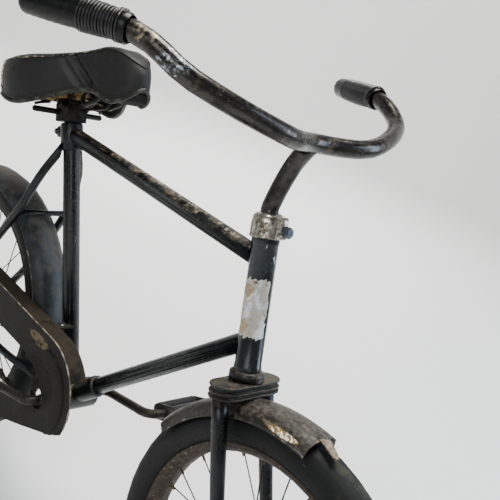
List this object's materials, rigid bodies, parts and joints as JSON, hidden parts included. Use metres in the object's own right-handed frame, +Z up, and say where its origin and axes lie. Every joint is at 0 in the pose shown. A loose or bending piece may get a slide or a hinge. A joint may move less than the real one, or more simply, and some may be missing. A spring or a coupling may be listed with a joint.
{
  "type": "child bicycle",
  "caption": "Child's bicycle with wire wheels, swept-back bars, mudguards, chain guard and sprung saddle; wheels, cranks, pedals and steering turn.",
  "frame": {"origin": "rider's seat point, at the middle of the saddle's top", "axes": "+X forward in the direction of travel, +Y to the rider's left, +Z up from the road"},
  "size_m": [1.1488, 0.5528, 0.7931],
  "materials": {
    "bracket_lug": "dull",
    "bracket_shell": "worn gloss",
    "chain": "oily",
    "chain_guard": "dusty, worn",
    "chain_guard_clip": "dull",
    "chain_guard_tab": "dull",
    "chain_stay_bridge": "worn gloss",
    "chain_stay_left": "worn gloss",
    "chain_stay_right": "worn gloss",
    "chainring": "dull",
    "collar_bolt": "dull",
    "crank": "dull",
    "down_tube": "worn gloss",
    "fork_blade_left": "worn gloss",
    "fork_blade_right": "worn gloss",
    "fork_crown": "worn gloss",
    "front_axle": "dull",
    "front_mudguard": "dusty, worn",
    "front_wheel_tyre": "matt",
    "front_wheel_wires": "rusted",
    "grip_left": "matt",
    "grip_right": "matt",
    "guard_stay_left": "dull",
    "guard_stay_right": "dull",
    "handlebar": "pitted",
    "head_collar": "pitted",
    "head_tube": "worn gloss",
    "left_bracket_cup": "dull",
    "lower_head_cup": "worn gloss",
    "pedal_block_left_back": "matt",
    "pedal_block_left_front": "matt",
    "pedal_block_right_back": "matt",
    "pedal_block_right_front": "matt",
    "pedal_cage_left": "dull",
    "pedal_cage_right": "dull",
    "rear_axle": "dull",
    "rear_mudguard": "dusty, worn",
    "rear_sprocket": "dull",
    "rear_wheel_tyre": "matt",
    "rear_wheel_wires": "rusted",
    "right_bracket_cup": "dull",
    "saddle": "worn",
    "saddle_bar": "dull",
    "saddle_clamp": "dull",
    "saddle_nose_wire": "dull",
    "saddle_spring_left": "dull",
    "saddle_spring_right": "dull",
    "seat_lug": "worn gloss",
    "seat_post": "dull",
    "seat_stay_bridge": "worn gloss",
    "seat_stay_left": "worn gloss",
    "seat_stay_right": "worn gloss",
    "seat_tube": "worn gloss",
    "stem": "pitted",
    "top_tube": "worn gloss"
  },
  "bodies": {
    "frame": {"bracket_lug": "bracket_lug", "bracket_shell": "bracket_shell", "chain": "chain", "chain_guard": "chain_guard", "chain_guard_clip": "chain_guard_clip", "chain_guard_tab": "chain_guard_tab", "chain_stay_bridge": "chain_stay_bridge", "chain_stay_left": "chain_stay_left", "chain_stay_right": "chain_stay_right", "down_tube": "down_tube", "guard_stay_left": "guard_stay_left", "guard_stay_right": "guard_stay_right", "head_tube": "head_tube", "left_bracket_cup": "left_bracket_cup", "lower_head_cup": "lower_head_cup", "rear_axle": "rear_axle", "rear_mudguard": "rear_mudguard", "right_bracket_cup": "right_bracket_cup", "saddle": "saddle", "saddle_bar": "saddle_bar", "saddle_clamp": "saddle_clamp", "saddle_nose_wire": "saddle_nose_wire", "saddle_spring_left": "saddle_spring_left", "saddle_spring_right": "saddle_spring_right", "seat_lug": "seat_lug", "seat_post": "seat_post", "seat_stay_bridge": "seat_stay_bridge", "seat_stay_left": "seat_stay_left", "seat_stay_right": "seat_stay_right", "seat_tube": "seat_tube", "top_tube": "top_tube"},
    "steering": {"collar_bolt": "collar_bolt", "fork_blade_left": "fork_blade_left", "fork_blade_right": "fork_blade_right", "fork_crown": "fork_crown", "front_axle": "front_axle", "front_mudguard": "front_mudguard", "grip_left": "grip_left", "grip_right": "grip_right", "handlebar": "handlebar", "head_collar": "head_collar", "stem": "stem"},
    "front_wheel": {"front_wheel_tyre": "front_wheel_tyre", "front_wheel_wires": "front_wheel_wires"},
    "rear_wheel": {"rear_sprocket": "rear_sprocket", "rear_wheel_tyre": "rear_wheel_tyre", "rear_wheel_wires": "rear_wheel_wires"},
    "crank": {"chainring": "chainring", "crank": "crank"},
    "left_pedal": {"pedal_block_left_back": "pedal_block_left_back", "pedal_block_left_front": "pedal_block_left_front", "pedal_cage_left": "pedal_cage_left"},
    "right_pedal": {"pedal_block_right_back": "pedal_block_right_back", "pedal_block_right_front": "pedal_block_right_front", "pedal_cage_right": "pedal_cage_right"}
  },
  "joints": [
    {"name": "steering_turn", "type": "hinge", "parent": "frame", "child": "steering", "pos_m": [0.48066, 0, -0.22248], "axis": [-0.2924, 0, 0.9563], "range_deg": [-45, 45]},
    {"name": "front_wheel_spin", "type": "hinge", "parent": "steering", "child": "front_wheel", "pos_m": [0.60203, 0, -0.45359], "axis": [0, 1, 0], "continuous": true},
    {"name": "rear_wheel_spin", "type": "hinge", "parent": "frame", "child": "rear_wheel", "pos_m": [-0.09796, 0, -0.45359], "axis": [0, 1, 0], "continuous": true},
    {"name": "crank_spin", "type": "hinge", "parent": "frame", "child": "crank", "pos_m": [0.20203, 0, -0.45259], "axis": [0, 1, 0], "continuous": true},
    {"name": "left_pedal_spin", "type": "hinge", "parent": "crank", "child": "left_pedal", "pos_m": [0.32411, 0, -0.4141], "axis": [0, 1, 0], "continuous": true},
    {"name": "right_pedal_spin", "type": "hinge", "parent": "crank", "child": "right_pedal", "pos_m": [0.07996, 0, -0.49108], "axis": [0, 1, 0], "continuous": true}
  ]
}
